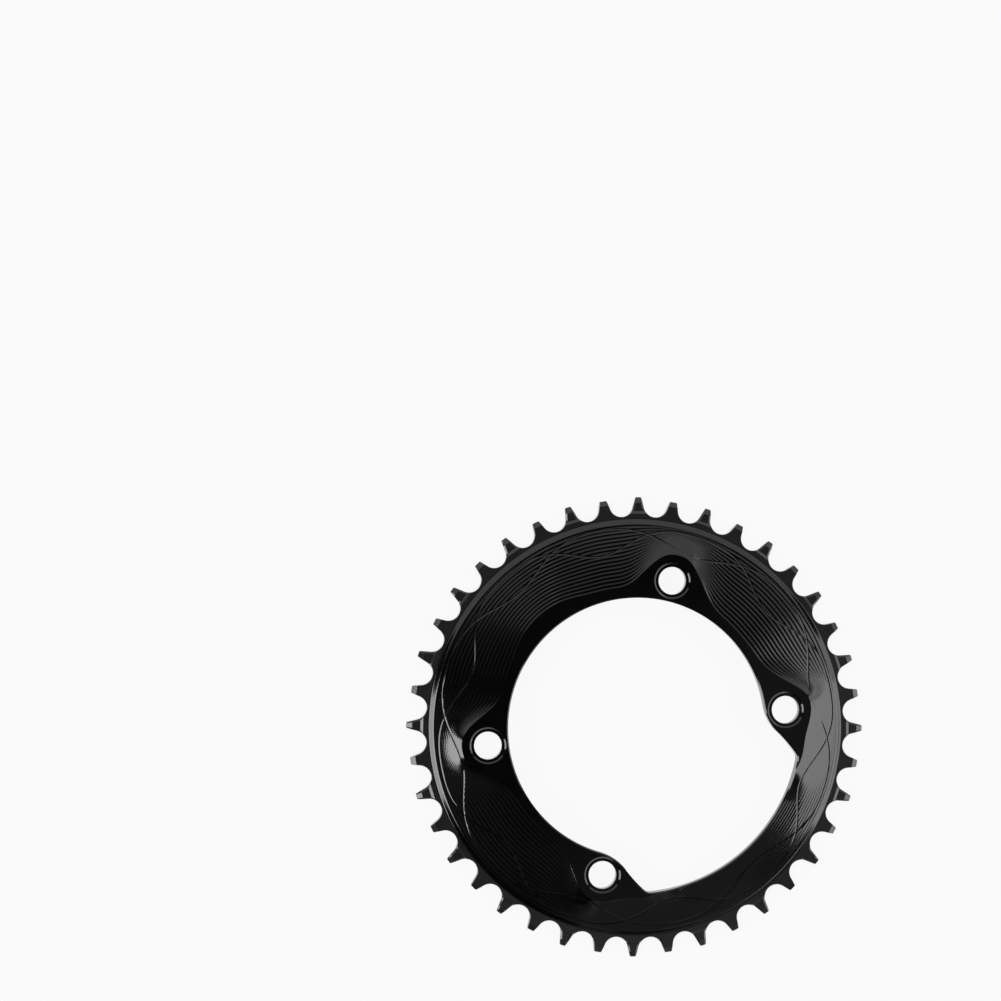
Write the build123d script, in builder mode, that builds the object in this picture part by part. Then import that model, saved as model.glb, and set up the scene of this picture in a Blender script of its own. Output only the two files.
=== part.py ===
import os
from math import acos, atan2, cos, degrees, hypot, radians, sin, tan

from build123d import *

# Chain and tooth form: narrow and wide teeth take turns, one of each to a pair
chain_pitch = 12.7
tooth_pairs = 20
roller_radius = 3.97
seat_radius = 4.43
flank_angle = 14.3
wide_tip_height = 6.4
narrow_tip_height = 7.15
tooth_turn = 2.8

# Tooth plate, and the two tooth sections cut from it
plate_thickness = 3.5
narrow_thickness = 2.1
wide_bevel_length = 1.85
wide_bevel_depth = 0.9
ramp_start = 1.05
ramp_length = 1.0
narrow_bevel_length = 2.1
narrow_bevel_depth = 0.55

# Rounded shoulder between the tooth plate and the dished web
rim_land = 0.75
shoulder_width = 2.2
shoulder_rise = 1.1

# Web: a low dome, steepest at the shoulder, out of which the tabs rise to the height of the land
web_rise = 2.9
web_crown = 0.3
tab_blend = 2.4
web_margin = 2.0
web_sections = 5

# Four bolt tabs
bolt_circle = 110.0
tab_half_angle = 55.0
bolt_hole_radius = 5.05
bolt_seat_width = 1.6
bolt_seat_depth = 0.55
bolt_seat_taper = 50.0
pad_wall = 2.9
tab_thickness = 3.6
spot_inset = 0.5

# Land along the inner edge, and the open side below the lower tabs
inner_wall = 1.05
land_width = 3.45
crest_width = 7.15
inner_bevel = 0.45
open_step = 5.3
web_lip = 1.1
tab_end_radius = 18.0
tab_end_wall = 1.05
open_corner = 3.5
open_fade = (21.5, 33.5)

# Hollow back
back_band = 5.0
back_slope = 15.0

# How far a cutter runs past what it cuts, and how closely a level line is found
clear = 1.0
level_search = 1e-6

tooth_count = 2 * tooth_pairs
pitch_angle = 360 / tooth_count
pitch_radius = chain_pitch / 2 / sin(radians(pitch_angle / 2))
root_radius = pitch_radius - roller_radius
wide_tip_radius = root_radius + wide_tip_height
narrow_tip_radius = root_radius + narrow_tip_height
blank_radius = max(wide_tip_radius, narrow_tip_radius) + clear
narrow_recess = (plate_thickness - narrow_thickness) / 2
shoulder_radius = root_radius - rim_land
web_radius = shoulder_radius - shoulder_width
rim_top = plate_thickness + shoulder_rise
pad_top = rim_top + web_rise
tab_back = pad_top - tab_thickness
bolt_radius = bolt_circle / 2
bolt_x = bolt_radius * sin(radians(tab_half_angle))
bolt_y = bolt_radius * cos(radians(tab_half_angle))
bolt_seat_radius = bolt_hole_radius + bolt_seat_width
pad_radius = bolt_seat_radius + pad_wall
inner_radius = bolt_radius - bolt_seat_radius - inner_wall
open_radius = bolt_radius + open_step
back_radius = root_radius - back_band


def polar(radius, angle):
    return (radius * cos(radians(angle)), radius * sin(radians(angle)))


def pad_point(y_centre, turn):
    x, y = polar(pad_radius, turn)
    return (bolt_x + x, y_centre + y)


# Outer edge of the flat pads and land, right half, from +X up to +Y and from -Y up to +X
land_radius = inner_radius + land_width
crest_radius = inner_radius + crest_width
lip_radius = open_radius - web_lip
tab_angle = 90 - tab_half_angle
upper_edge = [polar(land_radius, 0), polar(land_radius + 0.2, 8), polar(land_radius + 1.8, 17)]
upper_edge += [pad_point(bolt_y, turn) for turn in (-22, 5, 35, 65, 95)]
upper_edge += [polar(land_radius + 2.4, tab_angle + 15.5), polar(land_radius + 0.8, tab_angle + 25)]
upper_edge += [polar(land_radius + 1.3, 70), polar(crest_radius - 0.6, 80), polar(crest_radius, 90)]
lower_edge = [polar(lip_radius, -90), polar(lip_radius, -80), polar(lip_radius + 0.1, -70)]
lower_edge += [polar(lip_radius + 0.3, -66), polar(lip_radius + 0.6, -62), polar(lip_radius + 1.1, -58)]
lower_edge += [polar(lip_radius + 2.4, -52), polar(lip_radius + 3, -44.5)]
lower_edge += [pad_point(-bolt_y, turn) for turn in (-58, -30, 0, 28)]
lower_edge += [polar(land_radius + 1.8, -17.5), polar(land_radius + 0.2, -9)]
left_edge = [(-x, y) for x, y in reversed(lower_edge[1:] + upper_edge[:-1])]
pad_edge = upper_edge + left_edge + lower_edge
dome_reach = web_radius - land_radius
dome_slope = web_rise * (1 + web_crown) / dome_reach


def dome(away):
    # Height over the shoulder, by the distance in from it
    share = away / dome_reach
    return web_rise * (share + web_crown * share * (1 - share))


def web_height(x, y, away):
    # The same with the tabs, which the open side is free of
    reach = max(web_radius - hypot(x, y), web_margin)
    turn = degrees(atan2(abs(x), -y))
    fade = min(max((turn - open_fade[0]) / (open_fade[1] - open_fade[0]), 0), 1)
    return dome(away) + fade * (web_rise - dome(reach)) * min(away / reach, 1) ** tab_blend


def contour(level):
    # Level line of the web: how far in from the shoulder it first stands so high
    points = []
    for x, y in pad_edge:
        near, far = 0, dome_reach
        while far - near > level_search:
            middle = (near + far) / 2
            if web_height(x, y, middle) < level:
                near = middle
            else:
                far = middle
        points.append(polar(web_radius - far, degrees(atan2(y, x))))
    return points


def tooth_cut(section):
    # What lies outside a tooth's section, from its inner end out past the blank
    inner = section[0][0]
    front = [(r, plate_thickness - d) for r, d in section]
    back = [(r, d) for r, d in reversed(section)]
    outer = blank_radius + clear
    outside = [(inner, -clear), (outer, -clear), (outer, plate_thickness + clear)]
    return front + back + outside + [(inner, plate_thickness + clear)]


def radial_planes(first):
    planes = []
    for k in range(tooth_pairs):
        angle = first + 2 * k * pitch_angle
        planes.append(Plane(origin=(0, 0, 0), x_dir=(*polar(1, angle), 0), z_dir=(*polar(1, angle - 90), 0)))
    return planes


wide_section = [
    (wide_tip_radius - wide_bevel_length, 0),
    (wide_tip_radius, wide_bevel_depth),
]
narrow_section = [
    (root_radius + ramp_start, 0),
    (root_radius + ramp_start + ramp_length, narrow_recess),
    (narrow_tip_radius - narrow_bevel_length, narrow_recess),
    (narrow_tip_radius, narrow_recess + narrow_bevel_depth),
]

with BuildPart() as chainring:
    # Toothed plate: each gap is a roller seat with straight flanks leaving it on the tangent
    with BuildSketch():
        Circle(blank_radius)
        gap_lean = flank_angle + pitch_angle / 2
        seat_centre = root_radius + seat_radius
        flank_y = seat_radius * cos(radians(gap_lean))
        flank_x = seat_centre - seat_radius * sin(radians(gap_lean))
        mouth_x = blank_radius + clear
        mouth_y = flank_y + (mouth_x - flank_x) * tan(radians(gap_lean))
        with BuildSketch(mode=Mode.PRIVATE) as gap:
            with BuildLine():
                ThreePointArc((flank_x, flank_y), (root_radius, 0), (flank_x, -flank_y))
                Polyline((flank_x, -flank_y), (mouth_x, -mouth_y), (mouth_x, mouth_y), (flank_x, flank_y))
            make_face()
        with PolarLocations(0, tooth_count, start_angle=tooth_turn + pitch_angle / 2):
            add(gap.sketch, mode=Mode.SUBTRACT)
    extrude(amount=plate_thickness)
    with BuildSketch(*radial_planes(tooth_turn)):
        with BuildLine():
            Polyline(*tooth_cut(wide_section), close=True)
        make_face()
    extrude(amount=chain_pitch / 2, both=True, mode=Mode.SUBTRACT)
    with BuildSketch(*radial_planes(tooth_turn + pitch_angle)):
        with BuildLine():
            Polyline(*tooth_cut(narrow_section), close=True)
        make_face()
    extrude(amount=chain_pitch / 2, both=True, mode=Mode.SUBTRACT)

    # Shoulder, a round that runs on into the slope of the web
    with BuildSketch(Plane.XZ):
        with BuildLine():
            foot = (shoulder_radius, plate_thickness)
            Polyline((web_radius, rim_top), (0, rim_top), (0, plate_thickness / 2))
            Polyline((0, plate_thickness / 2), (shoulder_radius, plate_thickness / 2), foot)
            TangentArc((web_radius, rim_top), foot, tangent=(1, -dome_slope))
        make_face()
    revolve(axis=Axis.Z)

    # Web, lofted through its level lines from the shoulder's circle up to the pads
    with BuildSketch(Plane.XY.offset(rim_top)):
        Circle(web_radius)
    for j in range(1, web_sections + 1):
        level = web_rise * j / web_sections
        with BuildSketch(Plane.XY.offset(rim_top + level)):
            with BuildLine():
                Spline(*contour(level), periodic=True)
            make_face()
    loft(ruled=True)

    # Hollow back: a shallow cone, with a flat seat behind each tab
    with BuildSketch(Plane.XZ):
        with BuildLine():
            Polyline((0, -clear), (back_radius, -clear), (back_radius, 0))
            Polyline((back_radius, 0), (back_radius - back_slope, tab_back), (0, tab_back), (0, -clear))
        make_face()
    revolve(axis=Axis.Z, mode=Mode.SUBTRACT)
    with BuildSketch():
        with GridLocations(2 * bolt_x, 2 * bolt_y, 2, 2):
            Circle(pad_radius - spot_inset)
    extrude(amount=tab_back, mode=Mode.SUBTRACT)

    # Opening: round above, wider on the open side, with the lower tabs' ends between
    end_x = bolt_x - bolt_seat_radius - tab_end_wall
    lean = degrees(acos((end_x + tab_end_radius) / (inner_radius + tab_end_radius)))
    corner_angle = degrees(acos(end_x / open_radius))
    corner = polar(open_radius, -corner_angle)
    with BuildSketch() as opening:
        with BuildLine():
            round_edge = CenterArc((0, 0), inner_radius, 90, -90 - lean)
            tab_end = JernArc(round_edge @ 1, round_edge % 1, tab_end_radius, lean)
            Line(tab_end @ 1, corner)
            CenterArc((0, 0), open_radius, -corner_angle, corner_angle - 90)
            mirror(about=Plane.YZ)
        make_face()
        fillet([v for v in opening.vertices() if abs(v.Y - corner[1]) < 1e-4], open_corner)
    extrude(amount=pad_top + clear, mode=Mode.SUBTRACT)
    with BuildSketch(Plane.XY.offset(pad_top)):
        add(opening.sketch)
        offset(amount=inner_bevel)
    extrude(amount=-inner_bevel, taper=45, mode=Mode.SUBTRACT)

    # Bolt holes, each in a shallow seat with a bevelled wall
    with BuildSketch():
        with GridLocations(2 * bolt_x, 2 * bolt_y, 2, 2):
            Circle(bolt_hole_radius)
    extrude(amount=pad_top + clear, mode=Mode.SUBTRACT)
    with BuildSketch(Plane.XY.offset(pad_top)):
        with GridLocations(2 * bolt_x, 2 * bolt_y, 2, 2):
            Circle(bolt_seat_radius)
    extrude(amount=-bolt_seat_depth, taper=bolt_seat_taper, mode=Mode.SUBTRACT)

chainring.part.label = "chainring"
os.makedirs("parts", exist_ok=True)
export_step(chainring.part, "parts/chainring.step")
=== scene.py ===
from math import acos, atan2, cos, degrees, hypot, pi, radians, sin, sqrt, tan

import bmesh
import bpy
import numpy as np
from mathutils import Matrix, Vector
from mathutils.geometry import delaunay_2d_cdt


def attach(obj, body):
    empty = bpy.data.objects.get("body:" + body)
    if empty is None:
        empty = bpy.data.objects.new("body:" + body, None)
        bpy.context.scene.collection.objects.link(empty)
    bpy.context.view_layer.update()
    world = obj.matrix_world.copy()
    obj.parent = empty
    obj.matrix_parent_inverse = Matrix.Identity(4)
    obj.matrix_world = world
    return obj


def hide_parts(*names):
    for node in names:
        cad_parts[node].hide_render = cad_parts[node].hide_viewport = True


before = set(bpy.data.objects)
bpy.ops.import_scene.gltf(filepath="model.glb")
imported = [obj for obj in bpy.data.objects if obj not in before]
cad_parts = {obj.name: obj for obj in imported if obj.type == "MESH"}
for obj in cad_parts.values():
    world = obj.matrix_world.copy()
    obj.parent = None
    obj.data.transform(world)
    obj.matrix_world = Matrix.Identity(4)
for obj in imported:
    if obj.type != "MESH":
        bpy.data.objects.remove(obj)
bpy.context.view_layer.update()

# the ring is worked out in mm and angles in degrees, then written in metres
mm = 0.001
points, faces, zones = [], [], []
toothZone, webZone, padZone = 0, 1, 2
planNear = 1e-6  # points of a plan that lie closer than this are one


def polar(radius, angle):
    return (radius * cos(radians(angle)), radius * sin(radians(angle)))


def smoothStep(low, high, value):
    share = np.clip((value - low) / (high - low), 0.0, 1.0)
    return share * share * (3 - 2 * share)


def addPatch(newPoints, newFaces, zone):
    start = len(points)
    points.extend(newPoints)
    faces.extend([tuple(start + i for i in face) for face in newFaces])
    zones.extend([zone] * len(newFaces))


def addGrid(rows, zone):  # rows of points, each row a closed loop of equal length
    count = len(rows[0])
    quads = []
    for i in range(len(rows) - 1):
        low, high = i * count, (i + 1) * count
        quads += [(low + k, low + (k + 1) % count, high + (k + 1) % count, high + k) for k in range(count)]
    addPatch([tuple(p) for row in rows for p in row], quads, zone)


def loopEdges(start, count):
    return [(start + k, start + (k + 1) % count) for k in range(count)]


def cutPlan(plan, edges):  # triangles of a plan cut along its edges, and the points they come from
    corners = [Vector(p) for p in plan]
    flat, _, triangles, sources, _, _ = delaunay_2d_cdt(corners, edges, [], 1, planNear)
    return flat, triangles, sources


# toothed plate: the CAD's sizes, with broken edges, a step on the ramp and a deeper narrow bevel
teeth = {
    "count": 40,
    "chainPitch": 12.7,
    "rollerRadius": 3.97,
    "seatRadius": 4.43,
    "flankAngle": 14.3,
    "turn": 2.8,
    "thickness": 3.5,
    "rimLand": 0.75,
    "wideTip": 6.4,
    "narrowTip": 7.15,
    "wideSection": [(-1.85, 0.0), (0.0, 0.9)],  # from the tip, depth off each face
    "rampStart": 1.05,  # from the root
    "ramp": (0.95, 0.28),  # length and depth, then a short step down
    "rampStep": 0.12,
    "narrowRecess": 0.7,
    "narrowBevel": (2.1, 0.68),
    "tipRound": 0.4,
    "edgeBreak": (0.16, 0.12),  # width, depth
    "flankChamfer": (0.6, 0.3),
    "columns": 14,
    "seatPoints": 15,
    "flankPoints": 5,
    "tipPoints": 6,
}

pitchAngle = 360 / teeth["count"]
pitchRadius = teeth["chainPitch"] / 2 / sin(radians(pitchAngle / 2))
rootRadius = pitchRadius - teeth["rollerRadius"]
shoulderRadius = rootRadius - teeth["rimLand"]
columnCount = teeth["count"] * teeth["columns"]
columnStep = 360 / columnCount
columnAngles = teeth["turn"] - pitchAngle / 2 + columnStep * (np.arange(columnCount) - columnCount // 4)


def toothSection(narrow):  # distance from the axis and depth off each face
    if not narrow:
        tip = rootRadius + teeth["wideTip"]
        return [(tip + x, depth) for x, depth in teeth["wideSection"]]
    tip = rootRadius + teeth["narrowTip"]
    ramp = rootRadius + teeth["rampStart"]
    recess = teeth["narrowRecess"]
    rampLength, rampDepth = teeth["ramp"]
    foot = ramp + rampLength + teeth["rampStep"]
    length, depth = teeth["narrowBevel"]
    section = [(ramp, 0.0), (ramp + rampLength, rampDepth), (foot, recess)]
    return section + [(tip - length, recess), (tip, recess + depth)]


def toothSide(narrow):
    # one side of a tooth from mid-gap to the tip: place, way into the metal, edge break width and depth
    section = toothSection(narrow)
    breaks = [x for x, depth in section[:-1]]
    tip = section[-1][0]
    lean = radians(teeth["flankAngle"])
    radius = teeth["seatRadius"]
    centreX, centreY = polar(rootRadius + radius, pitchAngle / 2)
    arcStart, arcEnd = 180 + pitchAngle / 2, 270 - teeth["flankAngle"]
    flankX = centreX + radius * cos(radians(arcEnd))
    flankY = centreY + radius * sin(radians(arcEnd))

    def edgeAt(x):
        plain, wide = np.array(teeth["edgeBreak"]), np.array(teeth["flankChamfer"])
        if not narrow:
            return plain
        return plain + (wide - plain) * smoothStep(section[0][0], section[1][0], x)

    side = []
    turns = list(np.linspace(arcStart, arcEnd, teeth["seatPoints"]))
    turns += [360 - degrees(acos((x - centreX) / radius)) for x in breaks if x < flankX]
    for turn in sorted(turns):
        way = (cos(radians(turn)), sin(radians(turn)))
        x = centreX + radius * way[0]
        side.append((x, centreY + radius * way[1], *way, *edgeAt(x)))
    cornerY = flankY - (tip - flankX) * tan(lean)
    run = teeth["tipRound"] / tan(radians(45) + lean / 2)
    roundX = tip - run * cos(lean)
    flank = list(np.linspace(flankX, roundX, teeth["flankPoints"])[1:-1])
    flank += [x for x in breaks if x > flankX]
    for x in sorted(flank):
        side.append((x, flankY - (x - flankX) * tan(lean), -sin(lean), -cos(lean), *edgeAt(x)))
    tipRound = teeth["tipRound"]
    for share in np.linspace(0, 1, teeth["tipPoints"]):
        turn = (90 - teeth["flankAngle"]) * (1 - share)
        way = (cos(radians(turn)), sin(radians(turn)))
        edge = edgeAt(tip) * (1 - share) + np.array(teeth["edgeBreak"]) * share
        x = tip - tipRound + tipRound * way[0]
        side.append((x, cornerY - run + tipRound * way[1], -way[0], -way[1], *edge))
    return side


def toothPatch(narrow):
    # plan of one tooth with its share of the rim, cut along every line where a face bends
    section = toothSection(narrow)
    side = toothSide(narrow)
    outline = [(x, -y, nx, -ny, w, d) for x, y, nx, ny, w, d in side] + side[::-1]
    count = len(outline)
    plan = [(x, y) for x, y, nx, ny, w, d in outline]
    plan += [(x + nx * w, y + ny * w) for x, y, nx, ny, w, d in outline]
    rim = np.linspace(pitchAngle / 2, -pitchAngle / 2, teeth["columns"] + 1)
    plan += [polar(shoulderRadius, angle) for angle in rim]
    rimStart, last = 2 * count, len(plan) - 1
    edges = [(k, k + 1) for k in range(count - 1)]
    edges += [(count + k, count + k + 1) for k in range(count - 1)]
    edges += [(k, k + 1) for k in range(rimStart, last)]
    edges += [(count - 1, rimStart - 1), (rimStart - 1, rimStart), (last, count), (count, 0)]
    for x, depth in section[:-1]:
        a = min(range(count // 2), key=lambda k: abs(plan[k][0] - x))
        edges.append((a, count - 1 - a))
    flat, triangles, sources = cutPlan(plan, edges)
    sectionX, sectionDepth = zip(*section)
    depths = []
    for p, source in zip(flat, sources):
        onEdge = [k for k in source if k < count]
        extra = outline[onEdge[0]][5] if onEdge else 0.0
        depths.append(float(np.interp(p.x, sectionX, sectionDepth)) + extra)
    rimFace = [tuple(p) for p in flat], depths, [tuple(t) for t in triangles]
    wall = [(plan[k], depths[next(i for i, s in enumerate(sources) if k in s)]) for k in range(count)]
    return rimFace, wall


def addTeeth():
    thickness = teeth["thickness"]
    for narrow in (False, True):
        (plan, depths, triangles), wall = toothPatch(narrow)
        for k in range(teeth["count"] // 2):
            angle = radians(teeth["turn"] + pitchAngle * (2 * k + narrow))
            c, s = cos(angle), sin(angle)
            spun = [(c * x - s * y, s * x + c * y) for x, y in plan]
            front = [(x, y, thickness - d) for (x, y), d in zip(spun, depths)]
            rear = [(x, y, d) for (x, y), d in zip(spun, depths)]
            addPatch(front, triangles, toothZone)
            addPatch(rear, [t[::-1] for t in triangles], toothZone)
            edge = [(c * x - s * y, s * x + c * y, d) for (x, y), d in wall]
            strip = [(x, y, thickness - d) for x, y, d in edge] + edge
            n = len(edge)
            addPatch(strip, [(i, i + n, i + n + 1, i + 1) for i in range(n - 1)], toothZone)


addTeeth()
print("teeth", teeth["count"], "root radius", round(rootRadius, 3))

# bolt tabs and the opening between them
pads = {
    "boltCircle": 110.0,
    "tabAngle": 35.0,
    "holeRadius": 5.05,
    "seatRadius": 6.65,
    "seatDepth": 0.42,
    "seatSlope": 37.0,
    "padWall": 2.9,
    "innerWall": 1.05,
    "landWidth": 3.45,
    "crestWidth": 7.15,
    "openStep": 5.3,
    "webLip": 1.1,
    "tabEndRadius": 18.0,
    "tabEndWall": 1.05,
    "openCorner": 3.5,
    "edgeBevel": 0.45,
    "edgeDepth": 0.33,
    "seatLand": 0.04,
    "leastPad": 0.02,  # a narrower strip of pad than this is left out
    "holeSides": 96,
    "arcPoints": 200,
}

boltRadius = pads["boltCircle"] / 2
boltX, boltY = polar(boltRadius, pads["tabAngle"])
boltPlaces = [(boltX, boltY), (-boltX, boltY), (-boltX, -boltY), (boltX, -boltY)]
padRadius = pads["seatRadius"] + pads["padWall"]
innerRadius = boltRadius - pads["seatRadius"] - pads["innerWall"]
openRadius = boltRadius + pads["openStep"]


def rightAngle(angles):  # the ring is alike left and right, so every angle has a twin between -90 and 90
    turned = (np.asarray(angles, float) + 90) % 360 - 90
    return np.where(turned > 90, 180 - turned, turned)


def openingRadius(angles, grow):  # distance from the axis to the opening's edge, widened by grow
    endX = boltX - pads["seatRadius"] - pads["tabEndWall"]
    endRadius = pads["tabEndRadius"]
    lean = degrees(acos((endX + endRadius) / (innerRadius + endRadius)))
    endCentre = polar(innerRadius + endRadius, -lean)
    corner = pads["openCorner"]
    cornerCentre = (endX - corner, -sqrt((openRadius - corner) ** 2 - (endX - corner) ** 2))
    cornerTurn = degrees(atan2(cornerCentre[1], cornerCentre[0]))

    def arc(centre, radius, start, end):
        turns = np.radians(np.linspace(start, end, pads["arcPoints"]))
        return centre[0] + radius * np.cos(turns), centre[1] + radius * np.sin(turns)

    parts = [
        arc((0, 0), innerRadius + grow, 90, -lean),
        arc(endCentre, endRadius - grow, 180 - lean, 180),
        arc(cornerCentre, corner + grow, 0, cornerTurn),
        arc((0, 0), openRadius + grow, cornerTurn, -90),
    ]
    x = np.concatenate([p[0] for p in parts])[::-1]
    y = np.concatenate([p[1] for p in parts])[::-1]
    return np.interp(rightAngle(angles), np.degrees(np.arctan2(y, x)), np.hypot(x, y))


def padEdge():  # turn and distance of the points that the flat pads' outer edge runs through, right half
    land = innerRadius + pads["landWidth"]
    crest = innerRadius + pads["crestWidth"]
    lip = openRadius - pads["webLip"]
    tab = pads["tabAngle"]
    edge = [(-90, lip), (-80, lip), (-70, lip + 0.1), (-66, lip + 0.3), (-62, lip + 0.6), (-58, lip + 1.1)]
    edge += [(-52, lip + 2.4), (-44.5, lip + 3)]
    around = [(-boltY, turn) for turn in (-58, -30, 0, 28)]
    around += [(boltY, turn) for turn in (-22, 5, 35, 65, 95)]
    for y, turn in around:
        x, y = boltX + polar(padRadius, turn)[0], y + polar(padRadius, turn)[1]
        edge.append((degrees(atan2(y, x)), hypot(x, y)))
    edge += [(-tab / 2, land + 1.8), (-9, land + 0.2), (0, land), (8, land + 0.2)]
    edge += [(tab / 2 - 0.5, land + 1.8), (tab + 15.5, land + 2.4), (tab + 25, land + 0.8)]
    edge += [(70, land + 1.3), (80, crest - 0.6), (90, crest)]
    return sorted(edge)


def closedSpline(knots, values, at):  # smooth curve through the values, closed over 360 degrees
    count = len(knots)
    step = np.append(np.diff(knots), knots[0] + 360 - knots[-1])
    rise = (np.roll(values, -1) - values) / step
    system = np.zeros((count, count))
    for k in range(count):
        system[k, k - 1] += step[k - 1]
        system[k, k] += 2 * (step[k - 1] + step[k])
        system[k, (k + 1) % count] += step[k]
    bend = np.linalg.solve(system, 6 * (rise - np.roll(rise, 1)))
    at = (np.asarray(at, float) - knots[0]) % 360 + knots[0]
    k = np.searchsorted(knots, at, side="right") - 1
    nextK = (k + 1) % count
    a = knots[k] + step[k] - at
    b = at - knots[k]
    curve = (bend[k] * a**3 + bend[nextK] * b**3) / (6 * step[k])
    curve += (values[k] / step[k] - bend[k] * step[k] / 6) * a
    return curve + (values[nextK] / step[k] - bend[nextK] * step[k] / 6) * b


rightEdge = padEdge()
wholeEdge = rightEdge + [(180 - turn, radius) for turn, radius in rightEdge[-2:0:-1]]
edgeTurns, edgeRadii = (np.array(column) for column in zip(*wholeEdge))
padRadii = closedSpline(edgeTurns, edgeRadii, columnAngles)
wallRadii = openingRadius(columnAngles, 0)


def bevelWidths():  # the bevel along the opening narrows where a bolt seat comes close to the edge
    turns = np.radians(columnAngles)
    x, y = wallRadii * np.cos(turns), wallRadii * np.sin(turns)
    room = np.min([np.hypot(x - bx, y - by) for bx, by in boltPlaces], axis=0) - pads["seatRadius"]
    return np.minimum(pads["edgeBevel"], room - pads["seatLand"])


bevels = bevelWidths()
fullRim = openingRadius(columnAngles, pads["edgeBevel"])
rimRadii = wallRadii + (fullRim - wallRadii) * bevels / pads["edgeBevel"]


def chordRadius(radii, angles):  # distance to a many-sided loop that has one corner a column
    place = (np.asarray(angles) - columnAngles[0]) / columnStep
    k = np.floor(place).astype(int) % columnCount
    past = np.radians((place % 1) * columnStep)
    step = radians(columnStep)
    near, far = radii[k], radii[(k + 1) % columnCount]
    return near * far * sin(step) / (near * np.sin(past) + far * np.sin(step - past))


def fillPlan(plan, edges, inside, holes):
    # triangles between the edges, outside the loop of radii called inside and the round holes
    flat, triangles, _ = cutPlan(plan, edges)
    spots = np.array([tuple(p) for p in flat])
    triangles = np.array([tuple(t) for t in triangles])
    middles = spots[triangles].mean(axis=1)
    turns = np.degrees(np.arctan2(middles[:, 1], middles[:, 0]))
    keep = np.hypot(middles[:, 0], middles[:, 1]) > chordRadius(inside, turns)
    for (x, y), radius in holes:
        keep &= np.hypot(middles[:, 0] - x, middles[:, 1] - y) > radius
    return spots, triangles[keep]


# dished web: shoulder with a hollow foot, fine scallops, and two engraved waves
web = {
    "shoulderWidth": 2.2,
    "shoulderRise": 0.98,
    "footRound": 0.3,  # shares of the width that the hollow foot and the round top take
    "topRound": 0.4,
    "footRows": 9,
    "topRows": 6,
    "rise": 3.02,
    "crown": 0.18,  # 0 is a plain cone, more is rounder
    "tabBlend": 2.1,
    "openSide": (-68.5, -56.5),  # past the lower tabs the dome runs on to the opening
    "openBand": 6.8,  # how far in from the shoulder the flatter band of the open side starts
    "openSlope": 4.8,
    "scallops": 16,
    "scallopRows": 6,
    "cutterRadius": 5.5,
    "waveCount": 6,
    "waveTurn": 15.0,
    "waveRadius": 70.5,
    "waves": ((1, 4.65, 2.25), (-1, 3.85, 1.45)),  # sense, swing and sag of the two engraved lines
    "waveDepth": 0.09,
    "waveSlope": 12.0,
    "wavePoints": 1000,
    "waveCuts": (-1, -0.45, 0, 0.45, 1),  # mesh lines across an engraved line, as shares of its half width
    "waveEnds": (0.12, 0.6),  # how far from shoulder or pad a line starts, and is at full depth
}

webRadius = shoulderRadius - web["shoulderWidth"]
rimTop = teeth["thickness"] + web["shoulderRise"]
padTop = rimTop + web["rise"]
waveHalf = web["waveDepth"] / tan(radians(web["waveSlope"]))
domeReach = webRadius - innerRadius - pads["landWidth"]


def waveAt(angles, wave):  # distance of an engraved line from the axis, and how it grows with the angle
    sense, swing, sag = wave
    phase = np.radians(web["waveCount"] * (angles - web["waveTurn"]))
    radii = web["waveRadius"] + sense * swing * np.sin(phase) - sag * np.sin(phase) ** 2
    return radii, web["waveCount"] * (sense * swing * np.cos(phase) - sag * np.sin(2 * phase))


def waveRoom(angles, radii):  # distance to the shoulder or the pads, whichever is nearer
    return np.minimum(webRadius - radii, radii - closedSpline(edgeTurns, edgeRadii, angles))


def dome(away):  # height over the shoulder, by the distance in from it
    share = away / domeReach
    return web["rise"] * (share + web["crown"] * share * (1 - share))


def webHeight(x, y):
    angles, radii = np.degrees(np.arctan2(y, x)), np.hypot(x, y)
    reach = webRadius - closedSpline(edgeTurns, edgeRadii, angles)
    away = np.clip(webRadius - radii, 0, reach)
    share = away / reach
    closed = smoothStep(*web["openSide"], rightAngle(angles))
    band = np.maximum(away - web["openBand"], 0)
    lower = dome(away - band) + band * tan(radians(web["openSlope"]))
    whole = dome(away) + (web["rise"] - dome(reach)) * share ** web["tabBlend"]
    smooth = rimTop + lower + closed * (whole - lower)
    part = share * web["scallops"] % 1
    carved = (reach / web["scallops"]) ** 2 / (2 * web["cutterRadius"]) * part * (1 - part)
    groove = np.zeros(len(x))
    for wave in web["waves"]:
        line, growth = waveAt(angles, wave)
        off = np.abs(radii - line) * line / np.hypot(line, growth)
        groove = np.maximum(groove, np.clip(1 - off / waveHalf, 0, 1))
    groove *= web["waveDepth"] * smoothStep(*web["waveEnds"], waveRoom(angles, radii))
    return smooth - np.maximum(carved, groove)


def waveLine(wave, offset):  # plan of one engraved line, moved sideways by offset
    angles = np.arange(web["wavePoints"]) * 360 / web["wavePoints"]
    radii, growth = waveAt(angles, wave)
    length = np.hypot(radii, growth)
    outward, along = radii + offset * radii / length, -offset * growth / length
    c, s = np.cos(np.radians(angles)), np.sin(np.radians(angles))
    return outward * c - along * s, outward * s + along * c


def ring(radii, heights):  # one point a column, radii and heights alike or column by column
    turns = np.radians(columnAngles)
    return np.column_stack([radii * np.cos(turns), radii * np.sin(turns), heights * np.ones(columnCount)])


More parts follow.
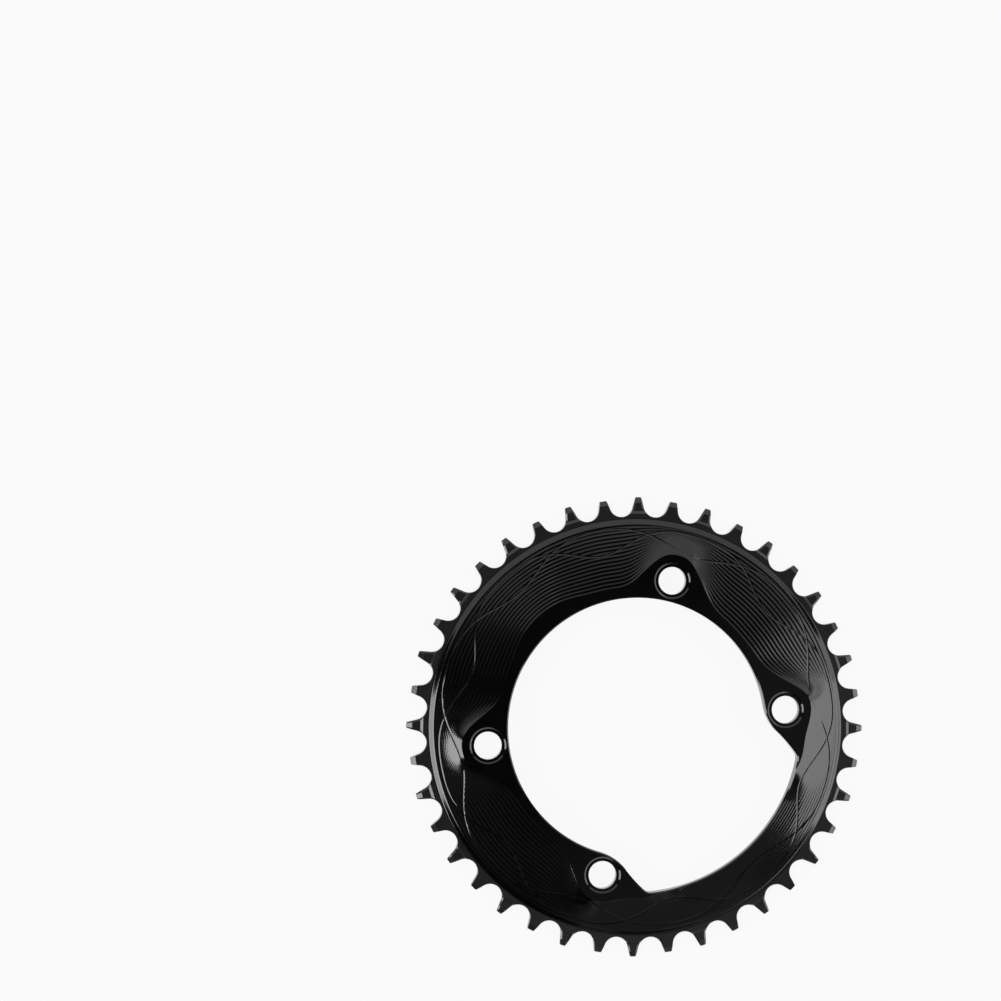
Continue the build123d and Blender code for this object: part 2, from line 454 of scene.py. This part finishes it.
def addWeb():
    # the shoulder's slope grows over the foot, holds, and eases into the web's
    width, rise = web["shoulderWidth"], web["shoulderRise"]
    foot, top = web["footRound"], web["topRound"]
    webStart = web["rise"] * (1 + web["crown"]) / domeReach
    steepest = (rise / width - webStart * top / 2) / (1 - foot / 2 - top / 2)
    footShares = np.linspace(0, foot, web["footRows"] + 1)
    topShares = np.linspace(1 - top, 1, web["topRows"] + 1)
    shares = np.append(footShares, topShares)
    slopes = np.interp(shares, [0, foot, 1 - top, 1], [0, steepest, steepest, webStart])
    climbs = np.diff(shares) * (slopes[1:] + slopes[:-1]) / 2 * width
    heights = teeth["thickness"] + np.append(0, np.cumsum(climbs))
    addGrid([ring(shoulderRadius - width * s, h) for s, h in zip(shares, heights)], webZone)

    # rows along the scallops, cut off where the opening's edge comes first
    ends = np.minimum(1, (webRadius - rimRadii) / (webRadius - padRadii))
    steps = web["scallops"] * web["scallopRows"]
    plan, edges = [], []
    for i in range(steps + 1):
        radii = webRadius + np.minimum(i / steps, ends) * (padRadii - webRadius)
        edges += loopEdges(len(plan), columnCount)
        plan += [tuple(p) for p in ring(radii, 0)[:, :2]]
    for wave in web["waves"]:
        for share in web["waveCuts"]:
            x, y = waveLine(wave, share * waveHalf)
            room = waveRoom(np.degrees(np.arctan2(y, x)), np.hypot(x, y)) > web["waveEnds"][0]
            start = len(plan)
            edges += [(start + a, start + b) for a, b in loopEdges(0, len(x)) if room[a] and room[b]]
            plan += list(zip(x, y))
    spots, triangles = fillPlan(plan, edges, radii, [])
    heights = webHeight(spots[:, 0], spots[:, 1])
    addPatch([(*p, h) for p, h in zip(spots, heights)], triangles, webZone)
    edge = ring(radii, 0)
    edge[:, 2] = webHeight(edge[:, 0], edge[:, 1])
    return edge


webEdge = addWeb()
print("web", columnCount, "columns,", web["scallops"], "scallops")

# hollow back, as in the CAD
back = {
    "band": 5.0,
    "slope": 15.0,
    "tabThickness": 3.6,
    "spotInset": 0.5,
    "spotWall": 0.05,
    "bendClear": 0.4,  # a line where the back bends stops this far from the opening
    "spotClear": 1.0,
}

backRadius = rootRadius - back["band"]
tabBack = padTop - back["tabThickness"]
spotRadius = padRadius - back["spotInset"]
hollowRadius = backRadius - back["slope"]


def circle(centre, radius, count):
    return [tuple(np.add(centre, polar(radius, 360 * k / count))) for k in range(count)]


def nearBolt(x, y, radius):
    return any(hypot(x - bx, y - by) < radius for bx, by in boltPlaces)


def backHeight(x, y):
    if nearBolt(x, y, spotRadius + back["spotWall"] / 2):
        return tabBack
    return tabBack * min(max((backRadius - hypot(x, y)) / back["slope"], 0.0), 1.0)


def addPads():
    sides = pads["holeSides"]
    wide = padRadii > rimRadii + pads["leastPad"]
    first, last = np.flatnonzero(wide)[[0, -1]]
    rim = ring(rimRadii, np.where(wide, padTop, webEdge[:, 2]))
    loop = [webEdge[k] for k in range(first, last + 1)] + [rim[k] for k in range(last + 1, first - 2, -1)]
    plan = [(p[0], p[1]) for p in loop]
    edges = loopEdges(0, len(plan))
    for place in boltPlaces:
        edges += loopEdges(len(plan), sides)
        plan += circle(place, pads["seatRadius"], sides)
    seats = [(place, pads["seatRadius"] * cos(pi / sides)) for place in boltPlaces]
    spots, triangles = fillPlan(plan, edges, rimRadii, seats)
    heights = [loop[k][2] if k < len(loop) else padTop for k in range(len(spots))]
    addPatch([(*p, h) for p, h in zip(spots, heights)], triangles, padZone)

    seatTop, seatFloor = padTop, padTop - pads["seatDepth"]
    seatIn = pads["seatRadius"] - pads["seatDepth"] / tan(radians(pads["seatSlope"]))
    for place in boltPlaces:
        steps = [(pads["seatRadius"], seatTop), (seatIn, seatFloor), (pads["holeRadius"], seatFloor)]
        steps.append((pads["holeRadius"], tabBack))
        addGrid([[(x, y, z) for x, y in circle(place, radius, sides)] for radius, z in steps], padZone)

    lower = ring(wallRadii, rim[:, 2] - bevels * pads["edgeDepth"] / pads["edgeBevel"])
    foot = ring(wallRadii, 0)
    foot[:, 2] = [backHeight(x, y) for x, y, z in foot]
    addGrid([rim, lower, foot], padZone)
    return foot


def addBack(foot):
    sides = pads["holeSides"]
    rim, hollowEdge = ring(shoulderRadius, 0), ring(backRadius, 0)
    addGrid([hollowEdge, rim], padZone)
    plan = [(x, y) for x, y, z in hollowEdge] + [(x, y) for x, y, z in foot]
    edges = loopEdges(0, columnCount) + loopEdges(columnCount, columnCount)
    for place in boltPlaces:
        edges += loopEdges(len(plan), sides)
        plan += circle(place, pads["holeRadius"], sides)
    bends = [[polar(hollowRadius, turn) for turn in np.append(columnAngles, columnAngles[0])]]
    for place in boltPlaces:
        for radius in (spotRadius, spotRadius + back["spotWall"]):
            loop = circle(place, radius, sides)
            bends.append(loop + loop[:1])
    innerSpot = spotRadius - back["spotClear"]
    bendStart = hollowRadius - back["bendClear"]
    for bend in bends:
        for (ax, ay), (bx, by) in zip(bend, bend[1:]):
            turn = degrees(atan2(ay + by, ax + bx))
            reach = min(hypot(ax, ay), hypot(bx, by))
            overHole = nearBolt(ax, ay, innerSpot) and nearBolt(bx, by, innerSpot)
            edgeRoom = reach - openingRadius(turn, 0)
            if edgeRoom > back["bendClear"] and reach > bendStart and not overHole:
                edges.append((len(plan), len(plan) + 1))
                plan += [(ax, ay), (bx, by)]

    holes = [(place, pads["holeRadius"] * cos(pi / sides)) for place in boltPlaces]
    spots, triangles = fillPlan(plan, edges, wallRadii, holes)
    addPatch([(x, y, backHeight(x, y)) for x, y in spots], triangles[:, ::-1], padZone)


addBack(addPads())
print("pads, seats and back done")

# one welded mesh, with a sharp edge where two faces meet at more than their zone's crease angle
ringMesh = {
    "weld": 0.002,
    "sliver": 0.0005,
    "creases": {toothZone: 7.0, webZone: 4.8, padZone: 15.0},
}


def buildRing():
    mesh = bpy.data.meshes.new("chainring_body")
    mesh.from_pydata([tuple(c * mm for c in p) for p in points], [], faces)
    mesh.polygons.foreach_set("material_index", zones)
    body = bmesh.new()
    body.from_mesh(mesh)
    bmesh.ops.remove_doubles(body, verts=body.verts, dist=ringMesh["weld"] * mm)
    bmesh.ops.dissolve_degenerate(body, edges=body.edges, dist=ringMesh["sliver"] * mm)
    loose = [v for v in body.verts if not v.link_faces]
    bmesh.ops.delete(body, geom=loose, context="VERTS")
    bmesh.ops.recalc_face_normals(body, faces=body.faces)
    creases = {zone: radians(angle) for zone, angle in ringMesh["creases"].items()}
    for face in body.faces:
        face.smooth = True
    openEdges = 0
    for edge in body.edges:
        if len(edge.link_faces) != 2:
            openEdges += 1
            continue
        a, b = (face.material_index for face in edge.link_faces)
        edge.smooth = a == b and edge.calc_face_angle() < creases[a]
    triangles = sum(len(face.verts) - 2 for face in body.faces)
    body.to_mesh(mesh)
    body.free()
    print("ring mesh", triangles, "triangles,", openEdges, "open edges")
    piece = bpy.data.objects.new("chainring_body", mesh)
    bpy.context.scene.collection.objects.link(piece)
    return piece


chainring = buildRing()

# black anodised aluminium: a deep satin black, a little uneven, with fine machining marks
finishes = {
    "anodisedTeeth": {"dark": 0.022, "light": 0.028, "rough": (0.1, 0.13), "grain": 0.02, "turned": 0.0},
    "anodisedWeb": {"dark": 0.001, "light": 0.002, "rough": (0.09, 0.12), "grain": 0.02, "turned": 0.0},
    "anodisedPads": {"dark": 0.001, "light": 0.002, "rough": (0.1, 0.13), "grain": 0.02, "turned": 0.03},
}
oxide = {
    "ior": 1.9,
    "blueShare": 1.05,
    "blotchScale": 120,
    "blotchDetail": 4,
    "blotchSpan": (0.3, 0.7),
    "grainScale": 9000,
    "turnedScale": 900,
    "turnedWobble": 0.5,
    "markDepth": 0.05,  # mm, for grain and turned marks
}


def anodised(name, finish):
    material = bpy.data.materials.new(name)
    material.use_nodes = True
    nodes, links = material.node_tree.nodes, material.node_tree.links
    shader = nodes["Principled BSDF"]
    shader.inputs["IOR"].default_value = oxide["ior"]
    place = nodes.new("ShaderNodeTexCoord")
    blotch = nodes.new("ShaderNodeTexNoise")
    blotch.inputs["Scale"].default_value = oxide["blotchScale"]
    blotch.inputs["Detail"].default_value = oxide["blotchDetail"]
    links.new(place.outputs["Object"], blotch.inputs["Vector"])
    tone = nodes.new("ShaderNodeValToRGB")
    greys = (finish["dark"], finish["light"])
    for stop, spot, grey in zip(tone.color_ramp.elements, oxide["blotchSpan"], greys):
        stop.position = spot
        stop.color = (grey, grey, grey * oxide["blueShare"], 1)
    links.new(blotch.outputs["Fac"], tone.inputs["Fac"])
    links.new(tone.outputs["Color"], shader.inputs["Base Color"])
    gloss = nodes.new("ShaderNodeMapRange")
    gloss.inputs["To Min"].default_value, gloss.inputs["To Max"].default_value = finish["rough"]
    links.new(blotch.outputs["Fac"], gloss.inputs["Value"])
    links.new(gloss.outputs["Result"], shader.inputs["Roughness"])
    grain = nodes.new("ShaderNodeTexNoise")
    grain.inputs["Scale"].default_value = oxide["grainScale"]
    links.new(place.outputs["Object"], grain.inputs["Vector"])
    bump = nodes.new("ShaderNodeBump")
    bump.inputs["Strength"].default_value = finish["grain"]
    bump.inputs["Distance"].default_value = oxide["markDepth"] * mm
    links.new(grain.outputs["Fac"], bump.inputs["Height"])
    links.new(bump.outputs["Normal"], shader.inputs["Normal"])
    if finish["turned"]:
        rings = nodes.new("ShaderNodeTexWave")
        rings.wave_type = "RINGS"
        rings.rings_direction = "Z"
        rings.inputs["Scale"].default_value = oxide["turnedScale"]
        rings.inputs["Distortion"].default_value = oxide["turnedWobble"]
        links.new(place.outputs["Object"], rings.inputs["Vector"])
        marks = nodes.new("ShaderNodeBump")
        marks.inputs["Strength"].default_value = finish["turned"]
        marks.inputs["Distance"].default_value = oxide["markDepth"] * mm
        links.new(rings.outputs["Fac"], marks.inputs["Height"])
        links.new(bump.outputs["Normal"], marks.inputs["Normal"])
        links.new(marks.outputs["Normal"], shader.inputs["Normal"])
    return material


for name, finish in finishes.items():
    chainring.data.materials.append(anodised(name, finish))
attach(chainring, "root")
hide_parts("chainring")
print("finish on", chainring.name)

# white floor with a low turned-up rim; it keeps a faint shadow and is white to the eye
floorSet = {
    "flatRadius": 2.0,
    "rimRadius": 2.6,
    "rimHeight": 0.6,
    "rings": 8,
    "sides": 96,
    "colour": (0.85, 0.85, 0.85, 1),
    "whiteShare": 0.92,
}


def buildFloor():
    mesh = bpy.data.meshes.new("floor")
    profile = [(0.0, 0.0), (floorSet["flatRadius"], 0.0)]
    for k in range(1, floorSet["rings"] + 1):
        turn = k / floorSet["rings"] * pi / 2
        run = floorSet["rimRadius"] - floorSet["flatRadius"]
        profile.append((floorSet["flatRadius"] + run * sin(turn), floorSet["rimHeight"] * (1 - cos(turn))))
    sides = floorSet["sides"]
    spots = [(*polar(r, 360 * k / sides), z) for r, z in profile[1:] for k in range(sides)]
    quads = [tuple(range(sides))]
    for i in range(len(profile) - 2):
        low, high = i * sides, (i + 1) * sides
        quads += [(low + k, high + k, high + (k + 1) % sides, low + (k + 1) % sides) for k in range(sides)]
    mesh.from_pydata(spots, [], quads)
    mesh.shade_smooth()
    floor = bpy.data.objects.new("floor", mesh)
    bpy.context.scene.collection.objects.link(floor)
    material = bpy.data.materials.new("studioWhite")
    material.use_nodes = True
    nodes, links = material.node_tree.nodes, material.node_tree.links
    nodes.clear()
    plain = nodes.new("ShaderNodeBsdfDiffuse")
    plain.inputs["Color"].default_value = floorSet["colour"]
    white = nodes.new("ShaderNodeEmission")
    path = nodes.new("ShaderNodeLightPath")
    seen = nodes.new("ShaderNodeMath")
    seen.operation = "MAXIMUM"
    links.new(path.outputs["Is Camera Ray"], seen.inputs[0])
    links.new(path.outputs["Is Glossy Ray"], seen.inputs[1])
    through = nodes.new("ShaderNodeMath")
    through.operation = "MAXIMUM"
    links.new(seen.outputs["Value"], through.inputs[0])
    links.new(path.outputs["Is Transmission Ray"], through.inputs[1])
    share = nodes.new("ShaderNodeMath")
    share.operation = "MULTIPLY"
    share.inputs[1].default_value = floorSet["whiteShare"]
    links.new(through.outputs["Value"], share.inputs[0])
    mix = nodes.new("ShaderNodeMixShader")
    links.new(share.outputs["Value"], mix.inputs["Fac"])
    links.new(plain.outputs["BSDF"], mix.inputs[1])
    links.new(white.outputs["Emission"], mix.inputs[2])
    output = nodes.new("ShaderNodeOutputMaterial")
    links.new(mix.outputs["Shader"], output.inputs["Surface"])
    mesh.materials.append(material)


buildFloor()
print("floor done")

# camera: where the ring's centre stands before the lens, and how the ring is turned and leans to it
cameraSet = {
    "lens": 88.0,
    "sensor": 36.0,
    "ringPlace": (49.359, -82.881, -899.1),
    "ringTurn": 41.432,
    "ringLean": (-0.838, 4.592),
}


def buildCamera():
    data = bpy.data.cameras.new("camera")
    data.lens = cameraSet["lens"]
    data.sensor_width = cameraSet["sensor"]
    camera = bpy.data.objects.new("camera", data)
    bpy.context.scene.collection.objects.link(camera)
    axis = Vector((*cameraSet["ringLean"], 0))
    lean = Matrix.Rotation(radians(axis.length), 4, axis.normalized())
    turn = Matrix.Rotation(radians(cameraSet["ringTurn"]), 4, "Z")
    toCamera = Matrix.Translation(Vector(cameraSet["ringPlace"]) * mm) @ lean @ turn
    camera.matrix_world = toCamera.inverted()
    bpy.context.scene.camera = camera
    return camera


camera = buildCamera()

# soft boxes: angles to the right of and above the camera's axis, seen from the ring, and brightness;
# a box with a turn of its own stands as a wall beside the ring
lamps = {
    "leftBox": {"aside": -36, "above": -9, "wide": 20, "tall": 30, "bright": 3.6},
    "leftWing": {"aside": -58, "above": -9, "wide": 24, "tall": 30, "bright": 2.8},
    "rightBox": {
        "aside": 48, "above": -8.2, "wide": 57.6, "tall": 27.3, "bright": 1.8, "away": 1.34, "turn": 42,
    },
    "rightUpper": {
        "aside": 48, "above": 9.8, "wide": 57.6, "tall": 8, "bright": 1.1, "away": 1.34, "turn": 42,
    },
    "topBox": {"aside": 7, "above": 53.5, "wide": 106, "tall": 51, "bright": 0.45},
    "topEdge": {"aside": 12.5, "above": 23.75, "wide": 31, "tall": 8.5, "bright": 0.24},
    "upperLeft": {"aside": -24.5, "above": 21, "wide": 43, "tall": 14, "bright": 0.28},
    "upperRight": {"aside": 44, "above": 19.8, "wide": 32, "tall": 16.5, "bright": 0.3},
    "frontBox": {"aside": 17, "above": -4, "wide": 14, "tall": 9, "bright": 0.055},
    "lowBox": {"aside": 18, "above": -38, "wide": 26, "tall": 56, "bright": 0.08},
    "lowLeft": {"aside": -2.5, "above": -54, "wide": 11, "tall": 42, "bright": 0.06},
    "lowRight": {"aside": 40.5, "above": -45, "wide": 19, "tall": 34, "bright": 0.12},
    "sideEdge": {"aside": -12.5, "above": 10, "wide": 19, "tall": 8, "bright": 0.045},
    "sideFill": {"aside": -15, "above": -15, "wide": 22, "tall": 30, "bright": 0.04},
}
lampDistance = 1.2
worldGrey = 0.006


def buildLamps():
    axes = camera.matrix_world.to_3x3()
    for name, lamp in lamps.items():
        aside, above = radians(lamp["aside"]), radians(lamp["above"])
        way = axes @ Vector((sin(aside) * cos(above), sin(above), cos(aside) * cos(above)))
        data = bpy.data.lights.new(name, "AREA")
        data.shape = "RECTANGLE"
        away = lamp.get("away", lampDistance)
        data.size = 2 * away * tan(radians(lamp["wide"] / 2))
        data.size_y = 2 * away * tan(radians(lamp["tall"] / 2))
        data.energy = lamp["bright"] * pi * data.size * data.size_y
        upward = axes @ Vector((0, 1, 0))
        across = upward.cross(way).normalized()
        box = bpy.data.objects.new(name, data)
        facing = Matrix((across, way.cross(across), way)).transposed().to_4x4()
        turn = Matrix.Rotation(radians(lamp.get("turn", 0)), 4, upward)
        box.matrix_world = Matrix.Translation(way * away) @ turn @ facing
        bpy.context.scene.collection.objects.link(box)
    world = bpy.data.worlds.new("studio")
    world.use_nodes = True
    world.node_tree.nodes["Background"].inputs["Color"].default_value = (worldGrey, worldGrey, worldGrey, 1)
    bpy.context.scene.world = world


buildLamps()
bpy.context.scene.view_settings.view_transform = "Standard"
print("camera and lamps done")

bpy.context.view_layer.update()
